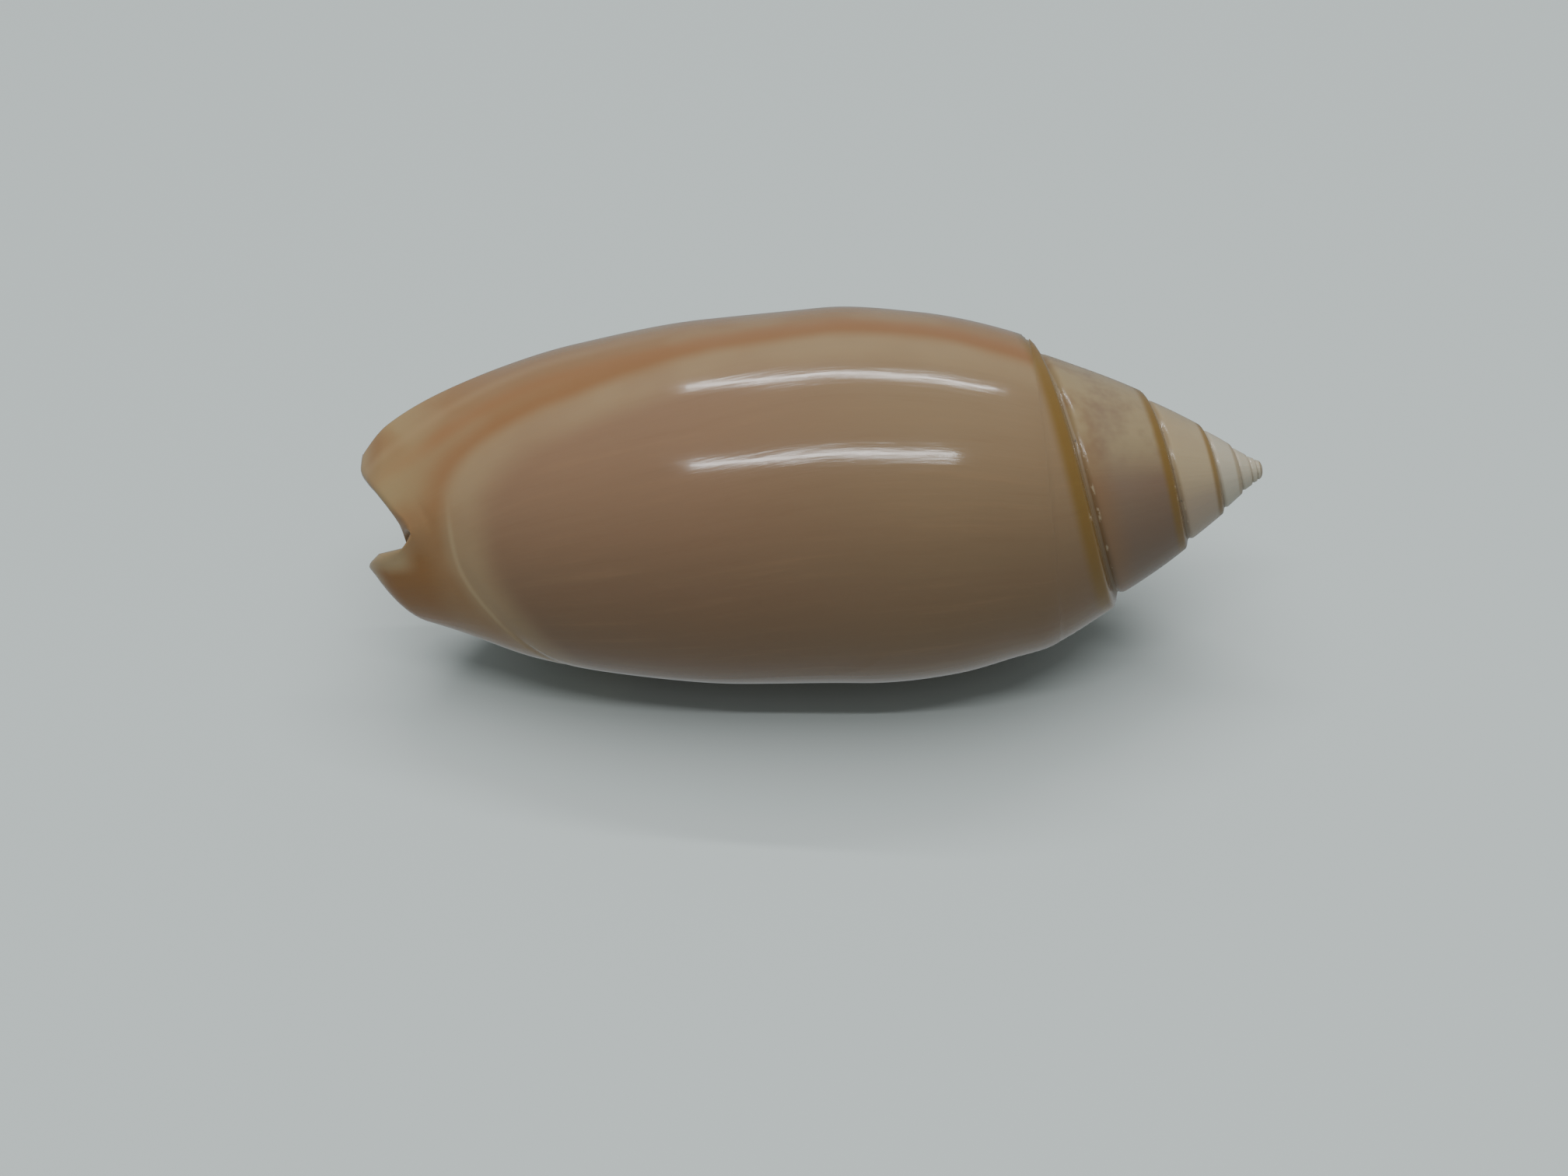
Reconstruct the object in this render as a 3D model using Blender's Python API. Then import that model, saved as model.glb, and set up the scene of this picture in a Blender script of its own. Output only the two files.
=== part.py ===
"""Olive shell, about 20 mm long, lying on its side with its apex towards +X and a little raised.

The shell is one solid. Each cross-section, square to the coiling axis, is a scroll: the outer wall runs
back from the outer lip for a full turn, passes under the lip as the parietal wall, goes on into the shell
as the columella, and comes back to the lip as the inside of the outer wall. On the spire the scroll is
closed and its seam is the suture, so the rings of the mesh turn with the suture.

Lengths are in millimetres until the mesh is placed. A station is a distance from the apex along the axis.
An angle is in degrees around the axis, 0 towards -Y and 90 upwards, and the shell grows towards larger
angles. How far back a point lies is counted in turns behind the youngest edge at its station.
"""

import math

import bmesh
import bpy
import numpy as np
from mathutils import Matrix, Vector

MILLIMETRE = 0.001

# The shell as a whole
LENGTH = 20.0
AXIS_PITCH = 6.2
REST_DEPTH = 0.08
LIP_ANGLE = 135.0

# The coil: the suture is a log spiral about the axis
SUTURE_AT_LIP = 4.85
WHORL_EXPANSION = 1.95
FIRST_STATION = 0.12

# Radius at the youngest edge, by station, and the exponent by which it shrinks in one turn back
PROFILE = (
    (0.0, 0.16), (0.35, 0.38), (1.0, 0.92), (2.4, 1.97), (3.8, 2.86), (5.2, 3.66), (7.2, 4.33), (9.4, 4.70),
    (12.0, 4.73), (15.0, 4.49), (17.5, 3.96), (19.2, 3.37), (20.2, 2.45),
)
GROWTH = (
    (0.0, 0.06), (4.85, 0.085), (6.0, 0.19), (7.2, 0.25), (9.4, 0.42), (13.0, 0.65), (16.5, 1.09), (20.2, 3.0),
)

# The channelled suture: its depth, its half-widths on the younger and the older side, and its end at the lip
CHANNEL_DEPTH = 0.11
CHANNEL_WIDTHS = (0.07, 0.13)
CHANNEL_FADE = 0.12
CHANNEL_TAPER = 0.55

# The outer lip: how far its edge stands back, in turns, the wall behind it, and how far in the hollow goes
LIP_SETBACK = (
    (4.85, 0.02), (7.0, 0.006), (9.75, 0.0), (12.6, 0.009), (16.3, 0.022), (18.4, 0.052), (20.0, 0.085),
)
LIP_START = 0.12
LIP_WALL = ((4.85, 0.12), (6.5, 0.26), (12.0, 0.34), (20.0, 0.30))
CAVITY_REACH = (
    (4.85, 0.05), (5.6, 0.16), (7.5, 0.34), (10.0, 0.44), (15.0, 0.44), (18.0, 0.28), (20.0, 0.185),
)

# The anterior edge: how far it stands back from the tip, by angle, with the siphonal notch between its lobes
ANTERIOR_EDGE = (
    (-260.0, 1.7), (-150.0, 1.25), (-90.0, 0.82), (-40.0, 0.44), (0.0, 0.16), (20.0, 0.02), (36.0, -0.1),
    (41.0, 0.05), (47.0, 0.62), (52.0, 1.0), (58.0, 1.1), (65.0, 0.93), (76.0, 0.6), (87.0, 0.27),
    (97.0, 0.08), (104.0, 0.1), (112.0, 0.35), (130.0, 1.2),
)
EDGE_ZONE = 15.0
TIP_ROUNDING = 0.75
TIP_CENTRE = (34.0, 1.0)
TIP_REACH = 0.3
LOBE_START = 0.6

# Mesh density
RINGS_PER_TURN = 15
BODY_RINGS = 27
OUTER_COLUMNS = 37
COLUMN_CROWDING = 0.10
CAVITY_COLUMNS = 11
DEPTH_CROWDING = 1.3
ROUNDING_ANGLES = (28.0, 56.0, 84.0)
SHARP_ANGLE = 50.0


def curve(points, x):
    """A smooth line through points, without overshoot: cubic pieces whose slopes are harmonic means."""
    knots, values = np.array(points).T
    steps = np.diff(knots)
    slopes = np.diff(values) / steps
    product = slopes[:-1] * slopes[1:]
    total = np.where(product > 0, slopes[:-1] + slopes[1:], 1.0)
    tangents = np.concatenate([slopes[:1], np.where(product > 0, 2 * product / total, 0.0), slopes[-1:]])
    x = np.clip(x, knots[0], knots[-1])
    piece = np.clip(np.searchsorted(knots, x) - 1, 0, len(steps) - 1)
    t = (x - knots[piece]) / steps[piece]
    lower = values[piece] * (1 + 2 * t) * (1 - t) ** 2 + steps[piece] * tangents[piece] * t * (1 - t) ** 2
    upper = values[piece + 1] * t * t * (3 - 2 * t) - steps[piece] * tangents[piece + 1] * t * t * (1 - t)
    return lower + upper


def ease(x):
    """0 below 0, 1 above 1, smooth between."""
    x = np.clip(x, 0.0, 1.0)
    return x * x * (3 - 2 * x)


def edge_angle(station):
    """Angle of the youngest edge at a station: the suture on the spire, the outer lip on the body whorl."""
    turns = math.log(min(station, SUTURE_AT_LIP) / SUTURE_AT_LIP) / math.log(WHORL_EXPANSION)
    if station > SUTURE_AT_LIP:
        turns -= float(curve(LIP_SETBACK, station))
    return LIP_ANGLE + 360 * turns


def outer_radius(station, back):
    """Radius of the outer surface, and of the columella where a point lies more than a turn back."""
    full = curve(PROFILE, station)
    growth = curve(GROWTH, station)
    size = (np.minimum(station, SUTURE_AT_LIP) / SUTURE_AT_LIP) ** CHANNEL_TAPER
    depth = CHANNEL_DEPTH * size
    from_younger = station * (1 - WHORL_EXPANSION ** -np.clip(back, 0, 1)) / (CHANNEL_WIDTHS[0] * size)
    from_older = station * (WHORL_EXPANSION ** (1 - np.clip(back, 0, 1)) - 1) / (CHANNEL_WIDTHS[1] * size)
    step = full * (1 - np.exp(-growth))
    channel = (step + depth) * np.exp(-(from_younger**2)) + depth * np.exp(-(from_older**2))
    channel = channel * np.clip((SUTURE_AT_LIP + CHANNEL_FADE - station) / CHANNEL_FADE, 0, 1)
    return full * np.exp(-growth * back) - channel


def scroll(nominal, columns, depths):
    """One cross-section as rows of station, across and up, its end's target and rounding, and turns back.

    It runs from the youngest edge back round the outside, into the hollow and out again to the edge.
    """
    reach = float(curve(CAVITY_REACH, nominal))
    back = np.concatenate([columns, 1 + depths[1:] * reach, depths[::-1] * reach])
    inner = np.arange(len(back)) >= len(columns) + len(depths) - 1
    angle = edge_angle(nominal) - 360 * back
    lobe = ease((back / reach - LOBE_START) / (1 - LOBE_START))
    rounding = LIP_WALL[-1][1] / 2 + (TIP_ROUNDING - LIP_WALL[-1][1] / 2) * lobe
    pull = max(0.0, (nominal - EDGE_ZONE) / (LENGTH - EDGE_ZONE)) ** 2
    station = nominal - pull * (curve(ANTERIOR_EDGE, angle) + rounding)
    radius = outer_radius(station, back)
    floor = outer_radius(station, back + 1)
    wall = np.minimum(curve(LIP_WALL, station), (radius - floor) / 2)
    middle = radius - wall / 2
    radius = np.where(inner, radius - wall, radius)
    spokes = np.stack([-np.cos(np.radians(angle)), np.sin(np.radians(angle))])
    centre = TIP_CENTRE[1] * np.array(
        [[-math.cos(math.radians(TIP_CENTRE[0]))], [math.sin(math.radians(TIP_CENTRE[0]))]]
    )
    across, up = radius * spokes
    target = middle * spokes * (1 - lobe) + centre * lobe
    return np.stack([station, across, up], axis=1), target.T, rounding, back


def rounded_end(rows, run, target, rounding, turn):
    """The last cross-section carried on in the direction the surface had, and drawn in to its target."""
    onward = run * rounding[:, None]
    end = np.column_stack([rows[:, 0] + onward[:, 0], target])
    return end - onward + (rows - end + onward) * math.cos(turn) + onward * math.sin(turn)


def close_end(bm, ring, back):
    """Joins the outer and the inner edge of the last ring, from the lip to the hollow's end, then the rest."""
    outer = 0
    inner = len(ring) - 1
    hollow_end = OUTER_COLUMNS + CAVITY_COLUMNS - 1
    while inner > hollow_end:
        if back[outer + 1] < back[inner - 1]:
            bm.faces.new((ring[outer], ring[inner], ring[outer + 1]))
            outer += 1
        else:
            bm.faces.new((ring[outer], ring[inner], ring[inner - 1]))
            inner -= 1
    for k in range(outer, hollow_end - 1):
        bm.faces.new((ring[k], ring[hollow_end], ring[k + 1]))


def shell_mesh():
    """The whole shell as a bmesh, in millimetres, with its axis along X and its anterior tip at X = 0."""
    even = np.linspace(0, 1, OUTER_COLUMNS)
    columns = even - COLUMN_CROWDING * np.sin(2 * np.pi * even)
    depths = np.linspace(0, 1, CAVITY_COLUMNS) ** DEPTH_CROWDING
    turns = math.log(SUTURE_AT_LIP / FIRST_STATION) / math.log(WHORL_EXPANSION)
    spire_rings = round(turns * RINGS_PER_TURN)
    bm = bmesh.new()

    def add(rows):
        return [bm.verts.new((LENGTH - station, across, up)) for station, across, up in rows]

    rings = []
    for k in range(spire_rings + 1):
        station = FIRST_STATION * (SUTURE_AT_LIP / FIRST_STATION) ** (k / spire_rings)
        rows = scroll(station, columns, depths)[0]
        rings.append(add(rows[: OUTER_COLUMNS - 1]))
    first = SUTURE_AT_LIP + LIP_START
    for k in range(BODY_RINGS):
        share = k / (BODY_RINGS - 1)
        before = rows
        rows, target, rounding, back = scroll(first + (LENGTH - first) * share, columns, depths)
        rings.append(add(rows))
    run = (rows - before) * (BODY_RINGS - 1) / (LENGTH - first)
    run[:, 0] = np.minimum(run[:, 0] + TIP_REACH, 1.0)
    for turn in np.radians(ROUNDING_ANGLES):
        rings.append(add(rounded_end(rows, run, target, rounding, turn)))

    for older, younger in zip(rings, rings[1:]):
        closed = len(older) == len(younger)
        count = len(older)
        for j in range(count if closed else count - 1):
            following = (j + 1) % count
            bm.faces.new((older[j], older[following], younger[following], younger[j]))
        if not closed:
            seam = older[0]
            bm.faces.new((older[-1], seam, younger[count], younger[count - 1]))
            for j in range(count, len(younger)):
                bm.faces.new((seam, younger[(j + 1) % len(younger)], younger[j]))
    apex = bm.verts.new((LENGTH, 0.0, 0.0))
    for j, corner in enumerate(rings[0]):
        bm.faces.new((apex, rings[0][(j + 1) % len(rings[0])], corner))
    close_end(bm, rings[-1], back)
    return bm


def lay_down(bm):
    """Tilts the axis, flattens the small spot the shell rests on, and puts the origin under its middle."""
    tilt = Matrix.Rotation(-math.radians(AXIS_PITCH), 3, "Y")
    bmesh.ops.rotate(bm, cent=(0.0, 0.0, 0.0), matrix=tilt, verts=bm.verts)
    floor = min(vert.co.z for vert in bm.verts) + REST_DEPTH
    everything = bm.verts[:] + bm.edges[:] + bm.faces[:]
    cut = bmesh.ops.bisect_plane(
        bm, geom=everything, plane_co=(0.0, 0.0, floor), plane_no=(0.0, 0.0, -1.0), clear_outer=True
    )
    rim = [item for item in cut["geom_cut"] if isinstance(item, bmesh.types.BMEdge)]
    bmesh.ops.edgeloop_fill(bm, edges=rim)
    low = [min(vert.co[i] for vert in bm.verts) for i in range(3)]
    high = [max(vert.co[i] for vert in bm.verts) for i in range(3)]
    middle = Vector(((low[0] + high[0]) / 2, (low[1] + high[1]) / 2, floor))
    bmesh.ops.translate(bm, vec=-middle, verts=bm.verts)


def shell_material():
    """Glossy shell of a pinkish tan."""
    material = bpy.data.materials.new("shell")
    material.use_nodes = True
    surface = material.node_tree.nodes["Principled BSDF"]
    surface.inputs["Base Color"].default_value = (0.42, 0.22, 0.13, 1.0)
    surface.inputs["Roughness"].default_value = 0.25
    surface.inputs["Metallic"].default_value = 0.0
    return material


def build():
    for old in list(bpy.data.objects):
        bpy.data.objects.remove(old)
    collection = bpy.data.collections.new("Olive shell")
    bpy.context.scene.collection.children.link(collection)
    bm = shell_mesh()
    lay_down(bm)
    bmesh.ops.recalc_face_normals(bm, faces=bm.faces)
    bmesh.ops.scale(bm, vec=(MILLIMETRE,) * 3, verts=bm.verts)
    mesh = bpy.data.meshes.new("shell")
    bm.to_mesh(mesh)
    bm.free()
    mesh.materials.append(shell_material())
    mesh.shade_smooth()
    mesh.set_sharp_from_angle(angle=math.radians(SHARP_ANGLE))
    collection.objects.link(bpy.data.objects.new("shell", mesh))


build()
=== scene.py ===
"""An olive shell lying on its side on a pale table top, in soft light."""

import math

import bpy
import numpy as np
from mathutils import Matrix, Vector


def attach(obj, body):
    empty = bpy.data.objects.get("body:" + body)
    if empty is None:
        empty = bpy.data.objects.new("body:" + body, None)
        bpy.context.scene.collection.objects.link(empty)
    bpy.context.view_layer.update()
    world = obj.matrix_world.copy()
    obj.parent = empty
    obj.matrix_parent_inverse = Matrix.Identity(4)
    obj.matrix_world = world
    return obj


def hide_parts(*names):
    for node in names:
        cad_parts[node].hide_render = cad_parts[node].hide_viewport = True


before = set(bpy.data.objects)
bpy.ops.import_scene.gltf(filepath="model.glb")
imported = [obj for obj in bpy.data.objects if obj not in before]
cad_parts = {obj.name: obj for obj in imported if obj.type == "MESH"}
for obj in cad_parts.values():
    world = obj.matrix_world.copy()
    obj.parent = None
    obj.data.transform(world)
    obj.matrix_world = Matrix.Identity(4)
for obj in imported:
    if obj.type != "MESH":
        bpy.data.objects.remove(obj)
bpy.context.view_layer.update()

# The shell. It grew as one coiled tube of shell stuff about 0.3 mm thick, thickened into a solid pillar along
# the axis, and the animal's mantle glazed it. Turn after turn was laid down along the outer lip, so growth
# marks run parallel to the lip, and each turn partly covers the one before it, up to the channelled suture.

# Lengths are in millimetres until the shell is laid down. A station is a distance from the apex along the
# coiling axis, an angle is in degrees around it, 0 towards -Y and 90 up, and back is in turns behind the lip.
MILLIMETRE = 0.001
LENGTH = 20.0
LIP_ANGLE = 135.0
SUTURE_AT_LIP = 4.85
WHORL_EXPANSION = 1.95
FIRST_STATION = 0.1

# Station and outer radius at the lip, and station and the rate at which that radius shrinks with turns back.
PROFILE = (
    (0.0, 0.16), (0.35, 0.38), (1.0, 0.92), (2.4, 1.97), (3.8, 2.86), (5.2, 3.66), (7.2, 4.33), (9.4, 4.70),
    (12.0, 4.73), (15.0, 4.49), (17.5, 3.96), (19.2, 3.37), (20.2, 2.45),
)
GROWTH = (
    (0.0, 0.06), (4.85, 0.085), (6.0, 0.19), (7.2, 0.25), (9.4, 0.42), (13.0, 0.65), (16.5, 1.09),
    (20.2, 3.0),
)

# The channel of the suture is CHANNEL_WIDTHS wide on its younger and its older side. It gets smaller with the
# turns towards the apex, and runs out in CHANNEL_FADE at the lip.
CHANNEL_DEPTH = 0.11
CHANNEL_WIDTHS = (0.07, 0.13)
CHANNEL_FADE = 0.12
CHANNEL_TAPER = 0.55

# Station and, for the lip, the turns that its edge stands back, its thickness, and the turns that the hollow
# behind it reaches back. PILLAR_START is the turns over which the outside becomes the pillar.
LIP_SETBACK = (
    (4.85, 0.02), (7.0, 0.006), (9.75, 0.0), (12.6, 0.009), (16.3, 0.022), (18.4, 0.052), (20.0, 0.085),
)
LIP_WALL = ((4.85, 0.0), (5.05, 0.12), (6.5, 0.26), (12.0, 0.34), (20.0, 0.30))
CAVITY_REACH = (
    (4.85, 0.0), (5.1, 0.07), (5.6, 0.16), (7.5, 0.34), (10.0, 0.44), (15.0, 0.44), (18.0, 0.28),
    (20.0, 0.185),
)
PILLAR_START = 0.02

# Angle and how far the anterior edge falls short of LENGTH there: the notch lies at 58, between two lobes.
# The pillar's tip is rounder than the lip, and closes towards an angle and radius of its own.
ANTERIOR_EDGE = (
    (-260.0, 1.7), (-150.0, 1.25), (-90.0, 0.82), (-40.0, 0.44), (0.0, 0.16), (20.0, 0.02), (36.0, -0.1),
    (41.0, 0.05), (47.0, 0.62), (52.0, 1.0), (58.0, 1.1), (65.0, 0.93), (76.0, 0.6), (87.0, 0.27),
    (97.0, 0.08), (104.0, 0.1), (112.0, 0.35), (130.0, 1.2),
)
EDGE_ZONE = 15.0
TIP_ROUNDING = 0.75
TIP_CENTRE = (34.0, 1.0)
LOBE_START = 0.6

# Two fine grooves wind round the anterior band: distance from the tip at GROOVE_ANGLE, gain per degree, depth
# and half-width. They keep apart behind, and fade out at both ends and where the lip covers them.
BAND_GROOVES = ((2.75, 0.0252, 0.03, 0.09), (-2.2, 0.0483, 0.06, 0.11))
GROOVE_ANGLE = 20.0
GROOVES_APART = 1.1
GROOVES_SOFTNESS = 0.02
GROOVES_START, START_FADE = 72.0, 25.0
GROOVES_STOP, STOP_FADE = -240.0, 60.0
COVER_FADE = 0.1

# How finely the mesh is divided, and how far its rings and columns crowd towards the edges.
RINGS_PER_TURN = 38
BODY_RINGS = 190
RING_CROWDING = 0.06
APEX_TURNS = (90.0, 80.0, 64.0, 48.0, 32.0, 16.0)
END_TURNS = (10.0, 20.0, 30.0, 40.0, 50.0, 60.0, 70.0, 79.0, 87.0)
LIP_COLUMNS = 7
HOLLOW_COLUMNS = 26
HOLLOW_CROWDING = 1.3
OUTER_COLUMNS = 96
OUTER_CROWDING = 0.135
MERGE_DISTANCE = 0.00002


def curve(points, x):
    """A smooth line through points, without overshoot: cubic pieces whose slopes are harmonic means."""
    knots, values = np.array(points).T
    steps = np.diff(knots)
    slopes = np.diff(values) / steps
    product = slopes[:-1] * slopes[1:]
    total = np.where(product > 0, slopes[:-1] + slopes[1:], 1.0)
    tangents = np.concatenate([slopes[:1], np.where(product > 0, 2 * product / total, 0.0), slopes[-1:]])
    x = np.clip(x, knots[0], knots[-1])
    piece = np.clip(np.searchsorted(knots, x) - 1, 0, len(steps) - 1)
    t = (x - knots[piece]) / steps[piece]
    lower = values[piece] * (1 + 2 * t) * (1 - t) ** 2 + steps[piece] * tangents[piece] * t * (1 - t) ** 2
    upper = values[piece + 1] * t * t * (3 - 2 * t) - steps[piece] * tangents[piece + 1] * t * t * (1 - t)
    return lower + upper


def ease(x):
    """0 below 0, 1 above 1, smooth between."""
    x = np.clip(x, 0.0, 1.0)
    return x * x * (3 - 2 * x)


def lip_setback(station):
    """How far the youngest edge stands back from LIP_ANGLE on the body whorl, in turns."""
    return curve(LIP_SETBACK, station) * (station > SUTURE_AT_LIP)


def edge_angle(station):
    """Angle of the youngest edge at a station: the suture on the spire, the outer lip on the body whorl."""
    turns = np.log(np.minimum(station, SUTURE_AT_LIP) / SUTURE_AT_LIP) / math.log(WHORL_EXPANSION)
    return LIP_ANGLE + 360 * (turns - lip_setback(station))


def past_grooves(station, angle):
    """How far a point lies towards the spire from each of the two fine grooves, which never cross."""
    first, second = (start + gain * (GROOVE_ANGLE - angle) for start, gain, _, _ in BAND_GROOVES)
    apart = (first - GROOVES_APART - second) / 2
    second = second + apart - np.sqrt(apart**2 + GROOVES_SOFTNESS)
    return LENGTH - station - first, LENGTH - station - second


def band_grooves(station, angle):
    """Depth of the fine grooves that bound the anterior band."""
    depth = 0.0
    for past, (_, _, deep, half_width) in zip(past_grooves(station, angle), BAND_GROOVES):
        depth = depth + deep * np.exp(-((past / half_width) ** 2))
    return depth * ease((GROOVES_START - angle) / START_FADE) * ease((angle - GROOVES_STOP) / STOP_FADE)


def outer_radius(station, back, angle):
    """Radius of the outer surface, and of the columella where a point lies more than a turn back."""
    full = curve(PROFILE, station)
    growth = curve(GROWTH, station)
    size = (np.minimum(station, SUTURE_AT_LIP) / SUTURE_AT_LIP) ** CHANNEL_TAPER
    depth = CHANNEL_DEPTH * size
    from_younger = station * (1 - WHORL_EXPANSION ** -np.clip(back, 0, 1)) / (CHANNEL_WIDTHS[0] * size)
    from_older = station * (WHORL_EXPANSION ** (1 - np.clip(back, 0, 1)) - 1) / (CHANNEL_WIDTHS[1] * size)
    step = full * (1 - np.exp(-growth))
    channel = (step + depth) * np.exp(-(from_younger**2)) + depth * np.exp(-(from_older**2))
    channel = channel * np.clip((SUTURE_AT_LIP + CHANNEL_FADE - station) / CHANNEL_FADE, 0, 1)
    grooves = band_grooves(station, angle) * ease((1.0 - back) / COVER_FADE)
    return full * np.exp(-growth * back) - channel - grooves


def scroll(nominal):
    """One cross-section as rows of station, across, up, angle, back and inside, with the target and rounding
    that would close it."""
    reach = float(curve(CAVITY_REACH, nominal))
    half_wall = float(curve(LIP_WALL, nominal)) / 2
    around = 2 * math.pi * float(curve(PROFILE, nominal))
    turns = np.linspace(0, math.pi / 2, LIP_COLUMNS)
    rounded = half_wall * (1 - np.cos(turns)) / around
    even = np.linspace(0, 1, HOLLOW_COLUMNS)
    further = (max(reach, rounded[-1]) - rounded[-1]) * even[1:] ** HOLLOW_CROWDING
    depths = np.concatenate([rounded, rounded[-1] + further])
    even = np.linspace(0, 1, OUTER_COLUMNS)
    beyond = depths[-1] + (1 - depths[-1]) * (even - OUTER_CROWDING * np.sin(2 * np.pi * even))
    back = np.concatenate([depths, beyond[1:], 1 + depths[1:], depths[::-1]])
    within = np.arange(len(back)) >= len(back) - len(depths)
    angle = edge_angle(nominal) - 360 * back
    lobe = ease((back / max(reach, 0.01) - LOBE_START) / (1 - LOBE_START))
    rounding = half_wall + (TIP_ROUNDING - half_wall) * lobe
    pull = max(0.0, (nominal - EDGE_ZONE) / (LENGTH - EDGE_ZONE)) ** 2
    station = nominal - pull * (curve(ANTERIOR_EDGE, angle) + rounding)
    radius = outer_radius(station, back, angle)
    floor = outer_radius(station, back + 1, angle - 360)
    wall = np.minimum(curve(LIP_WALL, station), (radius - floor) / 2)
    from_edge = np.clip(1 - back * around / max(half_wall, 1e-6), 0, 1)
    lip_curl = wall / 2 * (1 - np.sqrt(1 - from_edge**2))
    middle = radius - wall / 2
    radius = np.where(within, radius - wall + lip_curl, np.where(back < 0.5, radius - lip_curl, radius))
    spokes = np.stack([-np.cos(np.radians(angle)), np.sin(np.radians(angle))])
    centre_angle = math.radians(TIP_CENTRE[0])
    centre = TIP_CENTRE[1] * np.array([[-math.cos(centre_angle)], [math.sin(centre_angle)]])
    across, up = radius * spokes
    target = (middle * spokes * (1 - lobe) + centre * lobe).T
    inside = np.where(within, 1.0, ease((back - 1.0) / PILLAR_START))
    return np.stack([station, across, up, angle, back, inside], axis=1), target, rounding


def rounded_end(rows, run, target, rounding, turn):
    """The last cross-section carried on in the direction the surface had, and drawn in to its target."""
    onward = run / np.linalg.norm(run, axis=1, keepdims=True) * rounding[:, None]
    end = np.column_stack([rows[:, 0] + onward[:, 0], target])
    moved = rows.copy()
    moved[:, :3] = end - onward + (rows[:, :3] - end + onward) * math.cos(turn) + onward * math.sin(turn)
    return moved


def shell_rings():
    """Every ring of the shell, from the apex to the anterior end."""
    turns = math.log(SUTURE_AT_LIP / FIRST_STATION) / math.log(WHORL_EXPANSION)
    spire_rings = round(turns * RINGS_PER_TURN)
    first = scroll(FIRST_STATION)[0]
    rings = []
    for turn in np.radians(APEX_TURNS):
        moved = first.copy()
        moved[:, 0] *= 1 - math.sin(turn)
        moved[:, 1:3] *= math.cos(turn)
        rings.append(moved)
    for k in range(spire_rings):
        rings.append(scroll(FIRST_STATION * (SUTURE_AT_LIP / FIRST_STATION) ** (k / spire_rings))[0])
    shares = np.linspace(0, 1, BODY_RINGS)
    shares = shares - RING_CROWDING * np.sin(2 * np.pi * shares)
    stations = SUTURE_AT_LIP + (LENGTH - SUTURE_AT_LIP) * shares
    for station in stations:
        rows, target, rounding = scroll(station)
        rings.append(rows)
    run = (rows - rings[-2])[:, :3] / (stations[-1] - stations[-2])
    for turn in np.radians(END_TURNS):
        rings.append(rounded_end(rows, run, target, rounding, turn))
    # The wall's outer and inner side meet in the middle, and the pillar's end closes in one point.
    closed = rings[-1].copy()
    wall = LIP_COLUMNS + HOLLOW_COLUMNS - 1
    closed[:wall, :3] = (closed[:wall, :3] + closed[: -wall - 1 : -1, :3]) / 2
    closed[-wall:] = closed[wall - 1 :: -1]
    closed[wall:-wall, :3] = closed[wall - 1, :3]
    rings.append(closed)
    return np.array(rings)


rings = shell_rings()
ring_count, column_count, _ = rings.shape
bpy.ops.object.select_all(action="DESELECT")
bpy.ops.mesh.primitive_grid_add(x_subdivisions=column_count - 1, y_subdivisions=ring_count - 1, size=1.0)
shell = bpy.context.object
shell.name = "shell_glazed"
grid = rings.reshape(-1, 6)
places = np.column_stack([LENGTH - grid[:, 0], grid[:, 1], grid[:, 2]])
shell.data.vertices.foreach_set("co", places.ravel())

# Each corner remembers the growth turn it was laid down at, its station and its angle, then how far it lies
# behind the lip, whether it is inside, and its distance from the second groove. On shared points those would
# blur along the seam of the spire.
corners = np.empty(len(shell.data.loops), dtype=np.int32)
shell.data.loops.foreach_get("vertex_index", corners)


def remember(name, *numbers):
    """Keeps three numbers of each point on the corners of the mesh."""
    attribute = shell.data.attributes.new(name, "FLOAT_VECTOR", "CORNER")
    attribute.data.foreach_set("vector", np.column_stack(numbers)[corners].astype(np.float32).ravel())


remember("growth", grid[:, 3] / 360 + lip_setback(grid[:, 0]), grid[:, 0], grid[:, 3])
remember("place", grid[:, 4], grid[:, 5], past_grooves(grid[:, 0], grid[:, 3])[1])

bpy.ops.object.mode_set(mode="EDIT")
bpy.ops.mesh.select_all(action="SELECT")
bpy.ops.mesh.remove_doubles(threshold=MERGE_DISTANCE)
bpy.ops.mesh.select_all(action="SELECT")
bpy.ops.mesh.normals_make_consistent(inside=False)
bpy.ops.object.mode_set(mode="OBJECT")

# It is laid down with its apex raised, and is flattened by REST_DEPTH where it touches the table.
AXIS_PITCH = 6.2
REST_DEPTH = 0.112
places = np.empty(len(shell.data.vertices) * 3, dtype=np.float32)
shell.data.vertices.foreach_get("co", places)
tilt = Matrix.Rotation(-math.radians(AXIS_PITCH), 3, "Y")
places = places.reshape(-1, 3) @ np.array(tilt).T
floor_height = places[:, 2].min() + REST_DEPTH
places[:, 2] = np.maximum(places[:, 2], floor_height)
middle = (places.min(axis=0) + places.max(axis=0)) / 2
middle[2] = floor_height
shell.data.vertices.foreach_set("co", ((places - middle) * MILLIMETRE).astype(np.float32).ravel())
shell.data.update()
bpy.ops.object.shade_smooth()
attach(shell, "root")
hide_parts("shell")

glaze = bpy.data.materials.new("shell glaze")
glaze.use_nodes = True
tree = glaze.node_tree
surface = tree.nodes["Principled BSDF"]


def wired(node, inputs):
    """Sets a node's inputs to numbers and colours, or links them to sockets."""
    for key, value in inputs.items():
        if isinstance(value, bpy.types.NodeSocket):
            tree.links.new(value, node.inputs[key])
        else:
            node.inputs[key].default_value = value
    return node


def figure(operation, *values):
    """One step of arithmetic."""
    node = tree.nodes.new("ShaderNodeMath")
    node.operation = operation
    return wired(node, dict(enumerate(values))).outputs[0]


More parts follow.
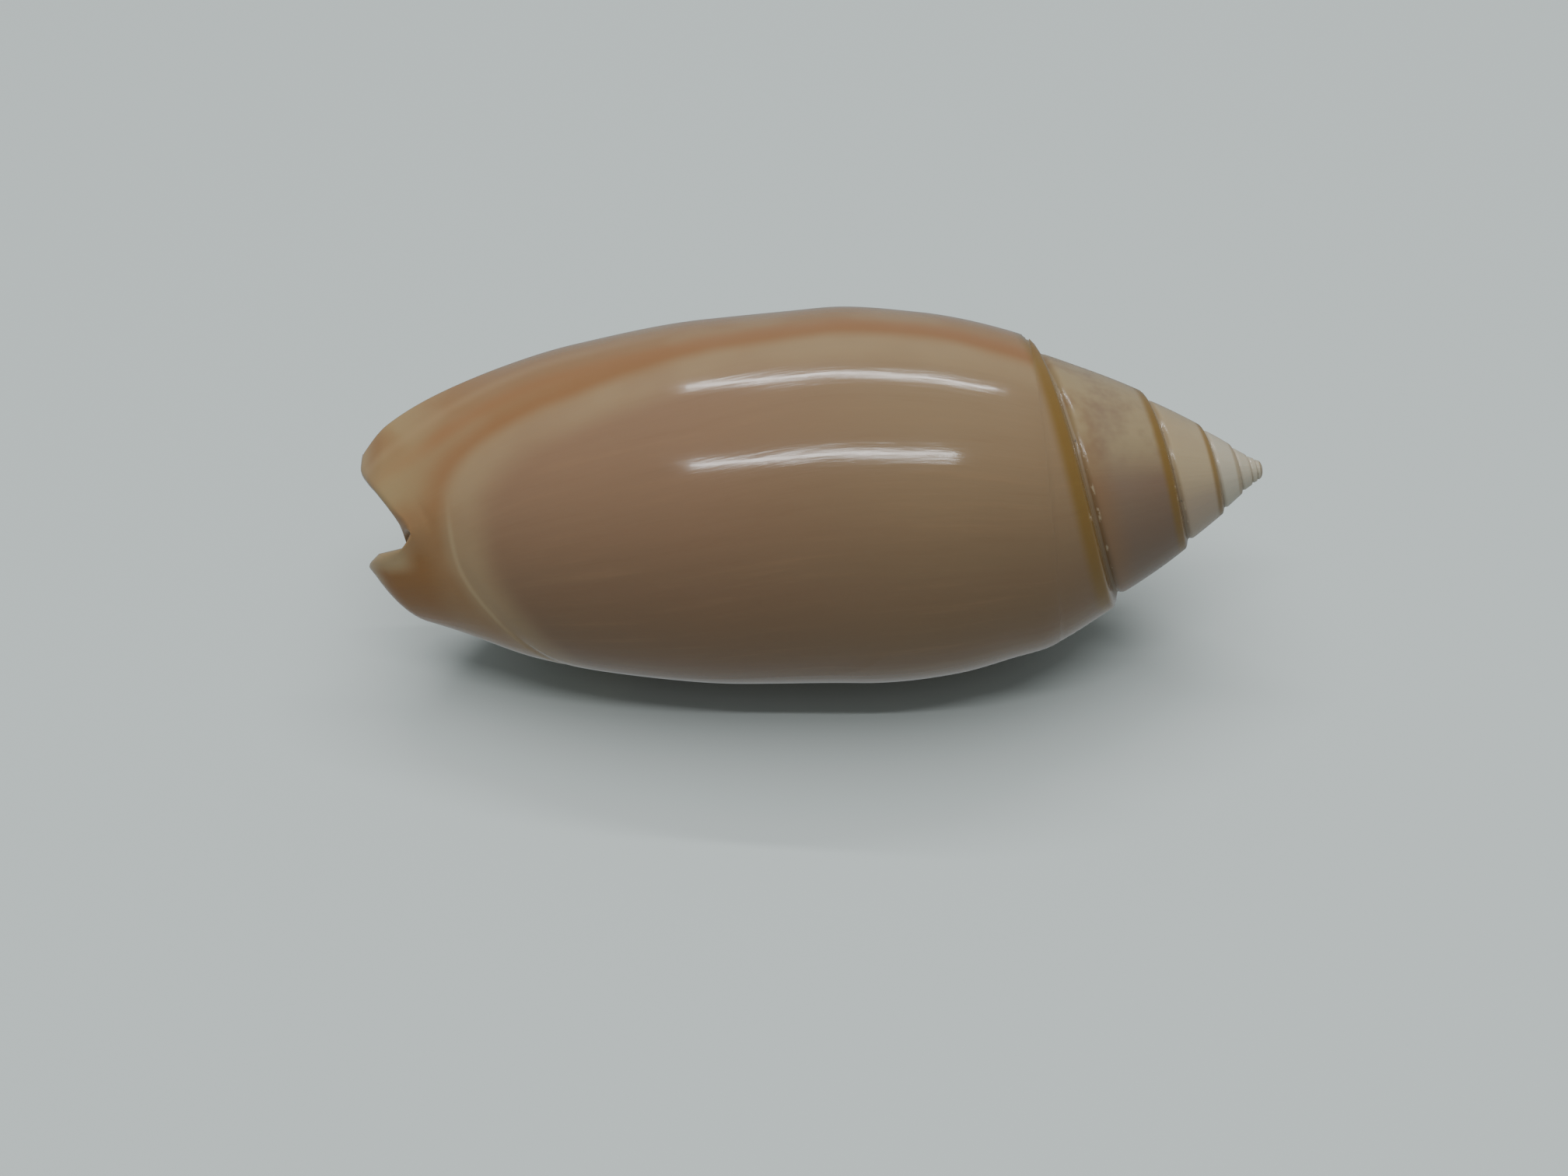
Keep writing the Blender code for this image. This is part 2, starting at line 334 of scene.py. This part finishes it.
def rise(value, low, high):
    """0 at low and 1 at high, smooth between. It falls where low is the larger."""
    node = tree.nodes.new("ShaderNodeMapRange")
    node.interpolation_type = "SMOOTHSTEP"
    ends = {"From Min": low, "From Max": high}
    if low > high:
        ends = {"From Min": high, "From Max": low, "To Min": 1.0, "To Max": 0.0}
    return wired(node, {"Value": value, **ends}).outputs[0]


def stripe(value, centre, half_width):
    """1 at centre, falling smoothly to 0 at half_width to either side."""
    return rise(figure("ABSOLUTE", figure("SUBTRACT", value, centre)), half_width, 0.0)


def cloud(where, scale, detail=4.0, roughness=0.5):
    """Noise between about 0.2 and 0.8."""
    node = tree.nodes.new("ShaderNodeTexNoise")
    settings = {"Vector": where, "Scale": scale, "Detail": detail, "Roughness": roughness}
    return wired(node, settings).outputs["Fac"]


def tint(amount, under, over):
    """The under colour, with over laid on it by amount."""
    node = tree.nodes.new("ShaderNodeMix")
    node.data_type = "RGBA"
    wired(node, {0: amount, 6: under, 7: over})
    return node.outputs[2]


def product(*values):
    """All the values multiplied together."""
    result = values[0]
    for value in values[1:]:
        result = figure("MULTIPLY", result, value)
    return result


def remembered(name):
    """The three numbers that the corners of the mesh keep under a name."""
    source = tree.nodes.new("ShaderNodeAttribute")
    source.attribute_name = name
    parts = tree.nodes.new("ShaderNodeSeparateXYZ")
    tree.links.new(source.outputs["Vector"], parts.inputs[0])
    return parts.outputs[0], parts.outputs[1], parts.outputs[2]


def spot(*coordinates):
    """A place for noise, from up to three numbers."""
    node = tree.nodes.new("ShaderNodeCombineXYZ")
    return wired(node, dict(enumerate(coordinates))).outputs[0]


# Where a point of the surface lies: in turns behind the lip, along the axis and around it, and in millimetres
# from the sutures on both its sides, from the tip and from the two grooves.
grown, station, angle = remembered("growth")
behind_lip, inside, past_second = remembered("place")
solid = tree.nodes.new("ShaderNodeTexCoord").outputs["Object"]
height = figure("SINE", figure("RADIANS", angle))
whorls_back = figure("DIVIDE", figure("SUBTRACT", LIP_ANGLE, angle), 360.0)
on_body = rise(whorls_back, 1.004, 0.996)
on_spire = figure("SUBTRACT", 1.0, on_body)
shrunk = figure("POWER", WHORL_EXPANSION, figure("MULTIPLY", whorls_back, -1.0))
suture = figure("MULTIPLY", shrunk, SUTURE_AT_LIP)
from_suture = figure("SUBTRACT", station, suture)
to_next = figure("SUBTRACT", figure("MULTIPLY", suture, WHORL_EXPANSION), station)
from_tip = figure("SUBTRACT", LENGTH, station)

# The anterior band's border follows the first groove, and levels out at BAND_LEAST from the tip.
BAND_LEAST = 2.42
BAND_BEND = 0.5
groove_start, groove_gain = BAND_GROOVES[0][:2]
band_line = figure("ADD", groove_start + GROOVE_ANGLE * groove_gain, figure("MULTIPLY", angle, -groove_gain))
band_line = figure("SMOOTH_MAX", band_line, BAND_LEAST, BAND_BEND)
past_band = figure("SUBTRACT", from_tip, band_line)

# The body whorl is pinkish tan, yellower beside the spire, and browner below, most on its front: partly its
# own colour, partly painted shade.
YELLOW_TAN = (0.230, 0.155, 0.084, 1.0)
PINK_TAN = (0.228, 0.136, 0.078, 1.0)
SHADED_LOWER_BROWN = (0.134, 0.075, 0.036, 1.0)
LIGHTEST_ANGLE = 110.0
soft_cloud = cloud(solid, 160.0, 3.0)
body = tint(rise(station, 6.5, 13.0), YELLOW_TAN, PINK_TAN)
# lower darkens the underside: partly painted shade, partly the shell's own browner colour.
upwards = figure("COSINE", figure("RADIANS", figure("SUBTRACT", angle, LIGHTEST_ANGLE)))
lower = rise(figure("ADD", upwards, product(figure("SUBTRACT", soft_cloud, 0.5), 0.6)), 1.0, -0.6)
lower_shade_strength = figure("ADD", 0.30, product(rise(angle, -110.0, -60.0), 0.44))
body = tint(product(lower, lower_shade_strength), body, SHADED_LOWER_BROWN)

# Faint growth streaks run parallel to the lip, a little wavy.
PALE_STREAK = (0.34, 0.20, 0.10, 1.0)
DARK_STREAK = (0.13, 0.065, 0.03, 1.0)
wander = cloud(spot(product(station, 0.35), 3.0, 0.0), 1.0, 2.0)
mark = figure("ADD", grown, product(figure("SUBTRACT", wander, 0.5), 0.012))
fine_streaks = cloud(spot(product(grown, 90.0), product(station, 0.22), 0.0), 1.0, 5.0, 0.65)
body = tint(product(rise(fine_streaks, 0.50, 0.75), 0.11), body, PALE_STREAK)
body = tint(product(rise(fine_streaks, 0.48, 0.25), 0.12), body, DARK_STREAK)

# The newest stretch of growth behind the lip, and the band round the anterior end, are more orange than the
# body. They share one rounded border, with a soft cream zone on the body's side.
NEWEST_START = 0.2665
NEWEST_CURVE = 0.021
MILLIMETRES_PER_TURN = 27.0
BORDER_ROUNDING = 2.4
LIP_ORANGE = (0.247, 0.136, 0.055, 1.0)
LOW_LIP_OLIVE = (0.182, 0.116, 0.053, 1.0)
PATCH_CREAM = (0.285, 0.195, 0.100, 1.0)
PATCH_ORANGE = (0.235, 0.122, 0.045, 1.0)
MARK_ORANGE = (0.26, 0.112, 0.038, 1.0)
MARK_CREAM = (0.32, 0.205, 0.10, 1.0)
BORDER_ORANGE = (0.230, 0.100, 0.036, 1.0)
BORDER_CREAM = (0.315, 0.225, 0.120, 1.0)
LINE_CREAM = (0.36, 0.27, 0.15, 1.0)
patchy = cloud(solid, 420.0, 2.0, 0.5)
anterior = rise(station, 9.0, 17.5)
newest_starts = figure("SUBTRACT", NEWEST_START, product(rise(station, 12.0, 17.0), NEWEST_CURVE))
to_newest = product(figure("SUBTRACT", newest_starts, mark), MILLIMETRES_PER_TURN)
to_border = figure("SMOOTH_MIN", to_newest, past_band, BORDER_ROUNDING)
newest = tint(rise(angle, 20.0, -60.0), LIP_ORANGE, LOW_LIP_OLIVE)
newest = tint(product(rise(patchy, 0.50, 0.66), 0.4), newest, PATCH_CREAM)
newest = tint(product(rise(patchy, 0.50, 0.34), 0.38), newest, PATCH_ORANGE)
newest = tint(product(stripe(mark, 0.293, 0.020), 0.5), newest, MARK_ORANGE)
newest = tint(product(stripe(mark, 0.325, 0.014), 0.4, anterior), newest, MARK_CREAM)
body = tint(product(rise(to_border, 0.25, -0.50), on_body, 0.92), body, newest)
orange_edge = product(stripe(to_border, -0.48, 0.58), rise(angle, 52.0, 74.0), on_body, 0.48)
body = tint(orange_edge, body, BORDER_ORANGE)
pale_strength = figure("ADD", 0.40, product(rise(patchy, 0.35, 0.62), 0.25))
pale = product(rise(to_border, 1.10, 0.20), rise(to_border, -0.50, 0.0), pale_strength, on_body)
body = tint(pale, body, BORDER_CREAM)
fine_line = product(stripe(past_band, -0.10, 0.10), rise(patchy, 0.36, 0.56), rise(angle, 66.0, 50.0))
body = tint(product(fine_line, 0.5), body, LINE_CREAM)

# Underneath, the band is olive between its grooves, and a cream callus lies along the aperture.
BAND_OLIVE = (0.130, 0.098, 0.040, 1.0)
CALLUS_CREAM = (0.330, 0.255, 0.165, 1.0)
olive = product(rise(past_band, -0.2, -0.6), rise(past_second, 0.5, 1.2), rise(angle, -20.0, -60.0))
body = tint(product(olive, rise(patchy, 0.35, 0.6), 0.6), body, BAND_OLIVE)
callus = product(rise(behind_lip, 0.84, 0.95), rise(station, 5.5, 9.0), on_body)
body = tint(product(callus, 0.6), body, CALLUS_CREAM)

# The upper lobe beside the notch has cream patches, the lower one is orange, and the notch's edge is cream.
LOBE_CREAM = (0.32, 0.240, 0.115, 1.0)
LOBE_ORANGE = (0.215, 0.098, 0.026, 1.0)
NOTCH_SIDE_CREAM = (0.36, 0.285, 0.16, 1.0)
NOTCH_EDGE_CREAM = (0.37, 0.285, 0.155, 1.0)
upper_lobe = product(rise(from_tip, 2.4, 0.7), rise(angle, 58.0, 72.0))
body = tint(product(upper_lobe, rise(patchy, 0.42, 0.62), 0.6), body, LOBE_CREAM)
lower_lobe = product(rise(from_tip, 2.2, 1.4), rise(angle, 52.0, 38.0), rise(angle, -60.0, -20.0))
body = tint(product(lower_lobe, 0.85), body, LOBE_ORANGE)
notch_side = product(rise(from_tip, 1.5, 0.9), rise(angle, 30.0, 40.0), rise(angle, 56.0, 48.0))
body = tint(product(notch_side, 0.65), body, NOTCH_SIDE_CREAM)
notch_edge = rise(figure("ADD", from_tip, product(cloud(solid, 900.0), 0.3)), 0.80, 0.25)
body = tint(product(notch_edge, 0.6), body, NOTCH_EDGE_CREAM)

# The spire is mauve grey, darker below with partly painted shade, browner towards the next suture and whitish
# at the apex, with cream patches above.
SPIRE_MAUVE = (0.175, 0.110, 0.070, 1.0)
SPIRE_GREY = (0.190, 0.130, 0.086, 1.0)
SHADED_LOWER_MAUVE = (0.098, 0.062, 0.036, 1.0)
SUTURE_BROWN = (0.200, 0.105, 0.040, 1.0)
SPIRE_CREAM = (0.32, 0.255, 0.135, 1.0)
SECOND_WHORL_GREY = (0.345, 0.270, 0.195, 1.0)
SECOND_WHORL_CREAM = (0.40, 0.320, 0.175, 1.0)
APEX_WHITE = (0.42, 0.385, 0.305, 1.0)
spire_cloud = cloud(solid, 520.0, 4.0, 0.6)
spire = tint(rise(soft_cloud, 0.35, 0.65), SPIRE_MAUVE, SPIRE_GREY)
# Darker mauve on the lower side: painted shade, partly the spire's own colour.
spire = tint(product(lower, 0.45), spire, SHADED_LOWER_MAUVE)
near_next = rise(figure("DIVIDE", to_next, suture), 0.40, 0.04)
spire = tint(product(near_next, 0.6), spire, SUTURE_BROWN)
cream = product(rise(height, 0.62, 0.98), rise(spire_cloud, 0.38, 0.60), 0.7)
spire = tint(cream, spire, SPIRE_CREAM)
second_whorl = rise(whorls_back, 1.8, 2.4)
spire = tint(product(second_whorl, 0.75), spire, SECOND_WHORL_GREY)
spire = tint(product(second_whorl, rise(height, 0.1, 0.95), 0.75), spire, SECOND_WHORL_CREAM)
spire = tint(product(rise(whorls_back, 2.2, 3.2), 0.8), spire, APEX_WHITE)
skin = tint(on_body, spire, body)

# The suture has an ochre edge on the younger side, a channel that holds a little dark dirt, and worn pale
# rims. All of it gets narrower with the turns towards the apex.
SUTURE_TAPER = 0.7
OCHRE = (0.165, 0.092, 0.014, 1.0)
OLDER_OCHRE = (0.145, 0.085, 0.026, 1.0)
RIM_CREAM = (0.38, 0.31, 0.21, 1.0)
OLDER_RIM_CREAM = (0.38, 0.31, 0.20, 1.0)
CHANNEL_TAN = (0.190, 0.135, 0.075, 1.0)
DIRT = (0.035, 0.028, 0.02, 1.0)
narrowed = figure("POWER", figure("DIVIDE", suture, SUTURE_AT_LIP), SUTURE_TAPER)
suture_size = figure("DIVIDE", from_suture, narrowed)
next_size = figure("DIVIDE", to_next, narrowed)
ochre = product(rise(suture_size, 0.58, 0.30), rise(suture_size, 0.03, 0.12))
ochre_cloud = cloud(spot(product(grown, 26.0), 0.0, 5.0), 1.0)
ochre = product(ochre, rise(ochre_cloud, 0.10, 0.40), rise(whorls_back, 5.0, 1.5), 0.9)
skin = tint(ochre, skin, OCHRE)
older_edge = product(stripe(next_size, 0.12, 0.26), on_spire, rise(whorls_back, 4.5, 1.5), 0.5)
skin = tint(older_edge, skin, OLDER_OCHRE)
rim_cloud = cloud(spot(product(grown, 60.0), product(from_suture, 4.0), 2.0), 1.0, 4.0, 0.6)
open_channel = rise(station, 5.1, 4.9)
younger_rim = product(stripe(suture_size, 0.10, 0.06), rise(rim_cloud, 0.60, 0.70), open_channel)
skin = tint(product(younger_rim, 0.8), skin, RIM_CREAM)
older_rim = product(stripe(next_size, 0.20, 0.09), on_spire)
skin = tint(product(older_rim, rise(rim_cloud, 0.56, 0.66), 0.8), skin, OLDER_RIM_CREAM)
in_channel = figure("MAXIMUM", rise(suture_size, 0.08, 0.02), product(rise(next_size, 0.13, 0.05), on_spire))
in_channel = product(in_channel, open_channel)
skin = tint(product(in_channel, 0.6), skin, CHANNEL_TAN)
dirt_cloud = cloud(spot(product(grown, 42.0), product(from_suture, 3.0), 9.0), 1.0, 5.0, 0.7)
skin = tint(product(in_channel, rise(dirt_cloud, 0.60, 0.66), 0.9), skin, DIRT)

# The two grooves are dark and hold dirt underneath, and a pale ridge runs along the second.
FIRST_GROOVE_OCHRE = (0.120, 0.078, 0.022, 1.0)
SECOND_GROOVE_OCHRE = (0.120, 0.085, 0.035, 1.0)
RIDGE_CREAM = (0.36, 0.30, 0.19, 1.0)
first_groove = product(stripe(past_band, 0.0, 0.13), rise(angle, -10.0, -50.0), on_body)
skin = tint(product(first_groove, 0.75), skin, FIRST_GROOVE_OCHRE)
skin = tint(product(first_groove, rise(dirt_cloud, 0.58, 0.64)), skin, DIRT)
underneath = rise(angle, -45.0, -65.0)
second_groove = product(stripe(past_second, 0.0, 0.15), underneath, on_body)
skin = tint(product(second_groove, 0.7), skin, SECOND_GROOVE_OCHRE)
skin = tint(product(second_groove, rise(dirt_cloud, 0.48, 0.54), 0.9), skin, DIRT)
ridge = product(stripe(past_second, -0.26, 0.14), underneath, rise(rim_cloud, 0.35, 0.55), on_body)
skin = tint(product(ridge, 0.7), skin, RIDGE_CREAM)

# Inside, and on the pillar, the glaze is paler and plain, and darkened deep in with painted shade.
LINING_CREAM = (0.33, 0.235, 0.150, 1.0)
DEEP_SHADE_TAN = (0.235, 0.150, 0.098, 1.0)
PILLAR_TAN = (0.32, 0.245, 0.160, 1.0)
PILLAR_CREAM = (0.38, 0.300, 0.205, 1.0)
PILLAR_TIP = (0.315, 0.215, 0.115, 1.0)
# The lining darkens deep into the hollow: painted shade.
lining = tint(rise(behind_lip, 0.0, 0.35), LINING_CREAM, DEEP_SHADE_TAN)
pillar = tint(rise(cloud(solid, 300.0), 0.35, 0.65), PILLAR_TAN, PILLAR_CREAM)
lining = tint(rise(behind_lip, 0.95, 1.0), lining, pillar)
pillar_end = product(rise(behind_lip, 0.50, 0.75), rise(from_tip, 3.4, 2.2))
whole = tint(product(pillar_end, 0.65), tint(inside, skin, lining), PILLAR_TIP)
wired(surface, {"Base Color": whole})

# A hard thin gloss over the colour, duller in the channel and on the worn spire, and faintly wavy.
dull = figure("MAXIMUM", in_channel, product(on_spire, 0.35))
smear = cloud(solid, 240.0, 4.0)
wired(surface, {"Roughness": figure("ADD", figure("ADD", 0.09, product(smear, 0.09)), product(dull, 0.35))})
surface.inputs["Coat Weight"].default_value = 0.2
surface.inputs["Coat Roughness"].default_value = 0.04
surface.inputs["IOR"].default_value = 1.53
surface.inputs["Subsurface Weight"].default_value = 0.08
surface.inputs["Subsurface Radius"].default_value = (1.0, 0.45, 0.25)
surface.inputs["Subsurface Scale"].default_value = 0.0006
waves = cloud(spot(product(grown, 16.0), product(station, 0.25), 0.0), 1.0, 2.0)
relief = figure("ADD", product(fine_streaks, 0.006), product(waves, 0.02))
bump = wired(tree.nodes.new("ShaderNodeBump"), {"Height": relief, "Distance": MILLIMETRE, "Strength": 1.0})
wired(surface, {"Normal": bump.outputs[0]})
shell.data.materials.append(glaze)

# The table top is plain, pale and matt. The shell's gloss leaves it out, because its pale colour would grey
# the shell's lower side.
TABLE_SIZE = 1.2
TABLE_GREY = (0.50, 0.555, 0.55, 1.0)
bpy.ops.object.select_all(action="DESELECT")
bpy.ops.mesh.primitive_plane_add(size=TABLE_SIZE, location=(0.0, 0.0, 0.0))
table = bpy.context.object
table.name = "table_top"
matt = bpy.data.materials.new("pale table")
matt.use_nodes = True
matt_surface = matt.node_tree.nodes["Principled BSDF"]
matt_surface.inputs["Base Color"].default_value = TABLE_GREY
matt_surface.inputs["Roughness"].default_value = 0.6
table.data.materials.append(matt)
table.visible_glossy = False

# The light is soft: a pale room, a large panel above, and two narrow strips that only the gloss really shows.
ROOM_COLOUR = (0.80, 0.86, 0.87, 1.0)
ROOM_STRENGTH = 0.38
STRIP_WIDTH = 0.005
STRIP_POWER = 0.07
world = bpy.data.worlds.new("pale room")
world.use_nodes = True
background = world.node_tree.nodes["Background"]
background.inputs["Color"].default_value = ROOM_COLOUR
background.inputs["Strength"].default_value = ROOM_STRENGTH
bpy.context.scene.world = world


def panel_light(name, place, length, width, power):
    """A rectangular soft light that faces the middle of the table."""
    lamp = bpy.data.lights.new(name, "AREA")
    lamp.shape = "RECTANGLE"
    lamp.size = length
    lamp.size_y = width
    lamp.energy = power
    holder = bpy.data.objects.new(name, lamp)
    holder.location = place
    to_middle = Vector((0.0, 0.0, 0.0)) - Vector(place)
    holder.rotation_euler = to_middle.to_track_quat("-Z", "Y").to_euler()
    bpy.context.scene.collection.objects.link(holder)
    return holder


overhead = panel_light("overhead panel", (0.0, 0.03, 0.35), 0.40, 0.30, 1.02)
overhead.visible_glossy = False
panel_light("front strip", (0.0, -0.062, 0.155), 0.118, STRIP_WIDTH, STRIP_POWER)
panel_light("rear strip", (0.010, 0.085, 0.155), 0.125, STRIP_WIDTH, STRIP_POWER)

# The camera stands in front of the shell and above it, at the photograph's viewing angle.
eye = bpy.data.cameras.new("eye")
eye.lens = 49.2
eye.sensor_width = 36.0
eye.clip_start = 0.001
eye.clip_end = 10.0
camera = bpy.data.objects.new("eye", eye)
camera.location = (-0.00047, -0.03670, 0.03465)
camera.rotation_euler = (math.radians(47.95), math.radians(1.17), math.radians(-0.73))
bpy.context.scene.collection.objects.link(camera)
bpy.context.scene.camera = camera
